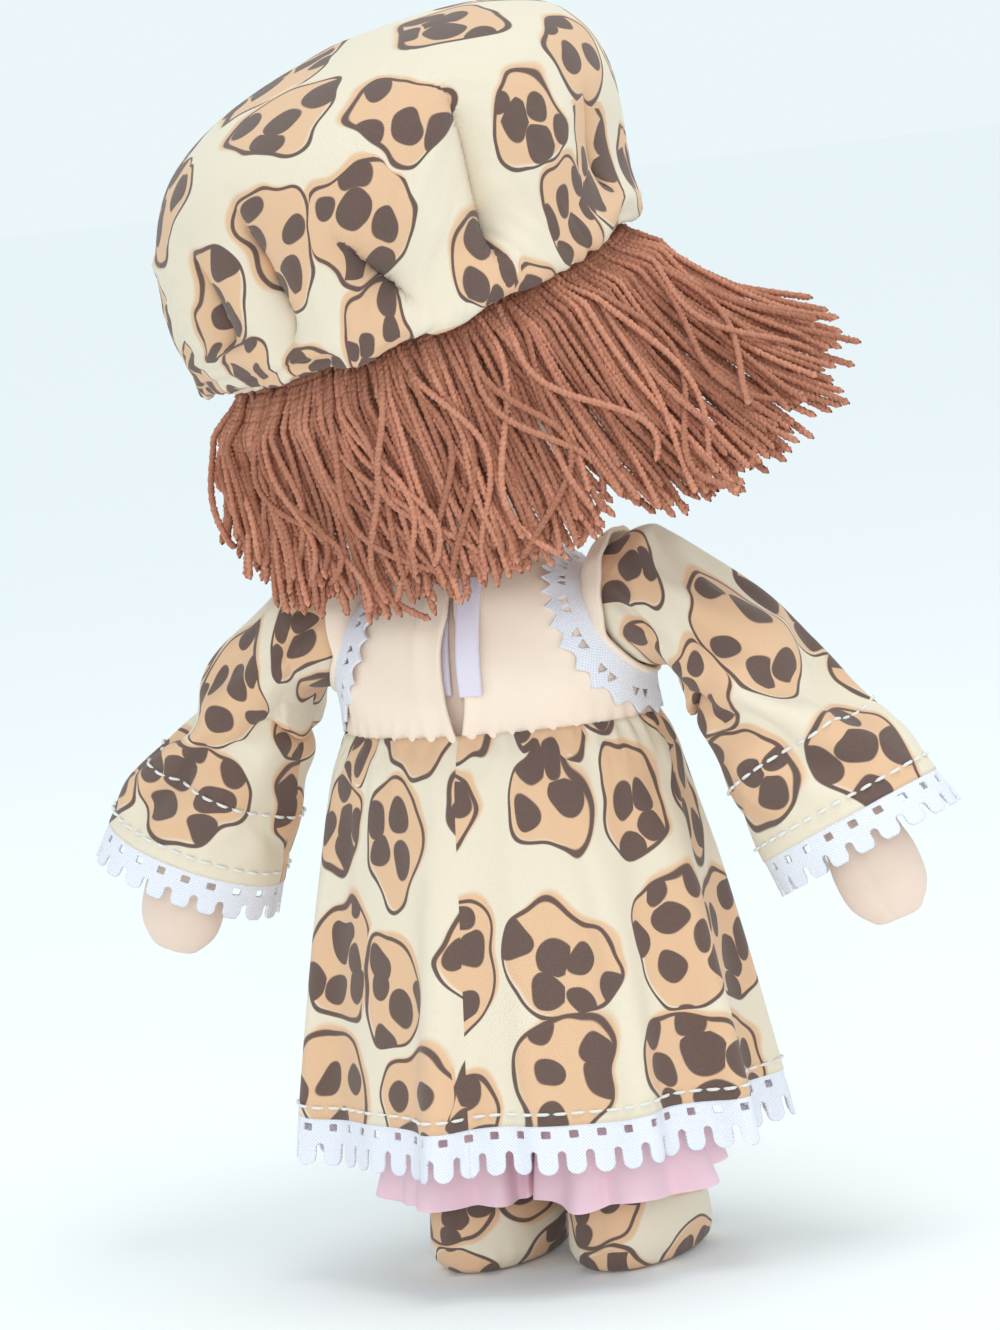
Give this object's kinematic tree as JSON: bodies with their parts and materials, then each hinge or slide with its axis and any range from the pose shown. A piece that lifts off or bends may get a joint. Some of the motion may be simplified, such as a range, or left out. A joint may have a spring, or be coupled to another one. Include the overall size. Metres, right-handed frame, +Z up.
{
  "type": "stuffed rag doll",
  "caption": "Standing stuffed cloth doll with yarn hair, a puffed cap, a lace-trimmed dress, bloomers and boots, jointed at neck, shoulders and hips.",
  "frame": {"origin": "on the floor under the middle of the doll's bounding box", "axes": "+Z up, the doll faces -Y and its left hand is on +X"},
  "size_m": [0.1766, 0.0942, 0.2395],
  "materials": {
    "skin_cotton": "plain woven cotton",
    "stuffing": "white polyester fibre",
    "print_cotton": "cream cotton with a tan and brown animal print",
    "bodice_cotton": "plain woven cotton",
    "lace": "white cotton lace",
    "pink_cotton": "pale pink cotton",
    "yarn": "two-ply brown yarn",
    "tape": "white woven tape"
  },
  "bodies": {
    "torso": {"torso_skin": "skin_cotton", "torso_stuffing": "stuffing", "bodice_front": "bodice_cotton", "bodice_back_left": "bodice_cotton", "bodice_back_right": "bodice_cotton", "closure_hook_tape": "tape", "closure_loop_tape": "tape", "armhole_lace_left": "lace", "armhole_lace_right": "lace", "skirt": "print_cotton", "hem_lace": "lace", "bloomers": "pink_cotton"},
    "hips": {"hip_seam": "skin_cotton"},
    "neck": {"neck": "skin_cotton"},
    "head": {"head_skin": "skin_cotton", "head_stuffing": "stuffing", "wig_tape": "yarn", "hair_left": "yarn", "hair_back": "yarn", "hair_right": "yarn", "hair_fringe": "yarn"},
    "cap": {"cap_crown": "print_cotton", "cap_band": "print_cotton"},
    "leg_left": {"leg_skin_left": "skin_cotton", "leg_stuffing_left": "stuffing", "boot_left": "print_cotton", "bloomer_frill_left": "pink_cotton"},
    "shoulder_left": {"shoulder_tab_left": "skin_cotton"},
    "arm_left": {"arm_skin_left": "skin_cotton", "arm_stuffing_left": "stuffing", "sleeve_left": "print_cotton", "cuff_lace_left": "lace"},
    "leg_right": {"leg_skin_right": "skin_cotton", "leg_stuffing_right": "stuffing", "boot_right": "print_cotton", "bloomer_frill_right": "pink_cotton"},
    "shoulder_right": {"shoulder_tab_right": "skin_cotton"},
    "arm_right": {"arm_skin_right": "skin_cotton", "arm_stuffing_right": "stuffing", "sleeve_right": "print_cotton", "cuff_lace_right": "lace"}
  },
  "joints": [
    {"name": "neck_turn", "type": "hinge", "parent": "torso", "child": "neck", "pos_m": [0, -0.00578, 0.1371], "axis": [0, 0, 1], "range_deg": [-30, 30], "deforming": ["hair_left", "hair_back", "hair_right"]},
    {"name": "head_nod", "type": "hinge", "parent": "neck", "child": "head", "pos_m": [0, -0.00578, 0.1401], "axis": [1, 0, 0], "range_deg": [-10, 12]},
    {"name": "cap_lift", "type": "slide", "parent": "head", "child": "cap", "axis": [0.2397, 0.2222, 0.9451], "range_m": [0, 0.07]},
    {"name": "sit_fold", "type": "hinge", "parent": "torso", "child": "hips", "pos_m": [0, -0.00578, 0.066], "axis": [-1, 0, 0], "range_deg": [0, 85], "deforming": ["skirt", "hem_lace", "bloomers"]},
    {"name": "leg_swing_left", "type": "hinge", "parent": "hips", "child": "leg_left", "pos_m": [0, -0.00578, 0.066], "axis": [-1, 0, 0], "range_deg": [-25, 20]},
    {"name": "arm_swing_left", "type": "hinge", "parent": "torso", "child": "shoulder_left", "pos_m": [0.03601, -0.00578, 0.1271], "axis": [-1, 0, 0], "range_deg": [-40, 75]},
    {"name": "arm_raise_left", "type": "hinge", "parent": "shoulder_left", "child": "arm_left", "pos_m": [0.03601, -0.00578, 0.1271], "axis": [0, -1, 0], "range_deg": [-8, 30]},
    {"name": "leg_swing_right", "type": "hinge", "parent": "hips", "child": "leg_right", "pos_m": [0, -0.00578, 0.066], "axis": [-1, 0, 0], "range_deg": [-25, 20]},
    {"name": "arm_swing_right", "type": "hinge", "parent": "torso", "child": "shoulder_right", "pos_m": [-0.03601, -0.00578, 0.1271], "axis": [-1, 0, 0], "range_deg": [-40, 75]},
    {"name": "arm_raise_right", "type": "hinge", "parent": "shoulder_right", "child": "arm_right", "pos_m": [-0.03601, -0.00578, 0.1271], "axis": [0, 1, 0], "range_deg": [-8, 30]}
  ]
}
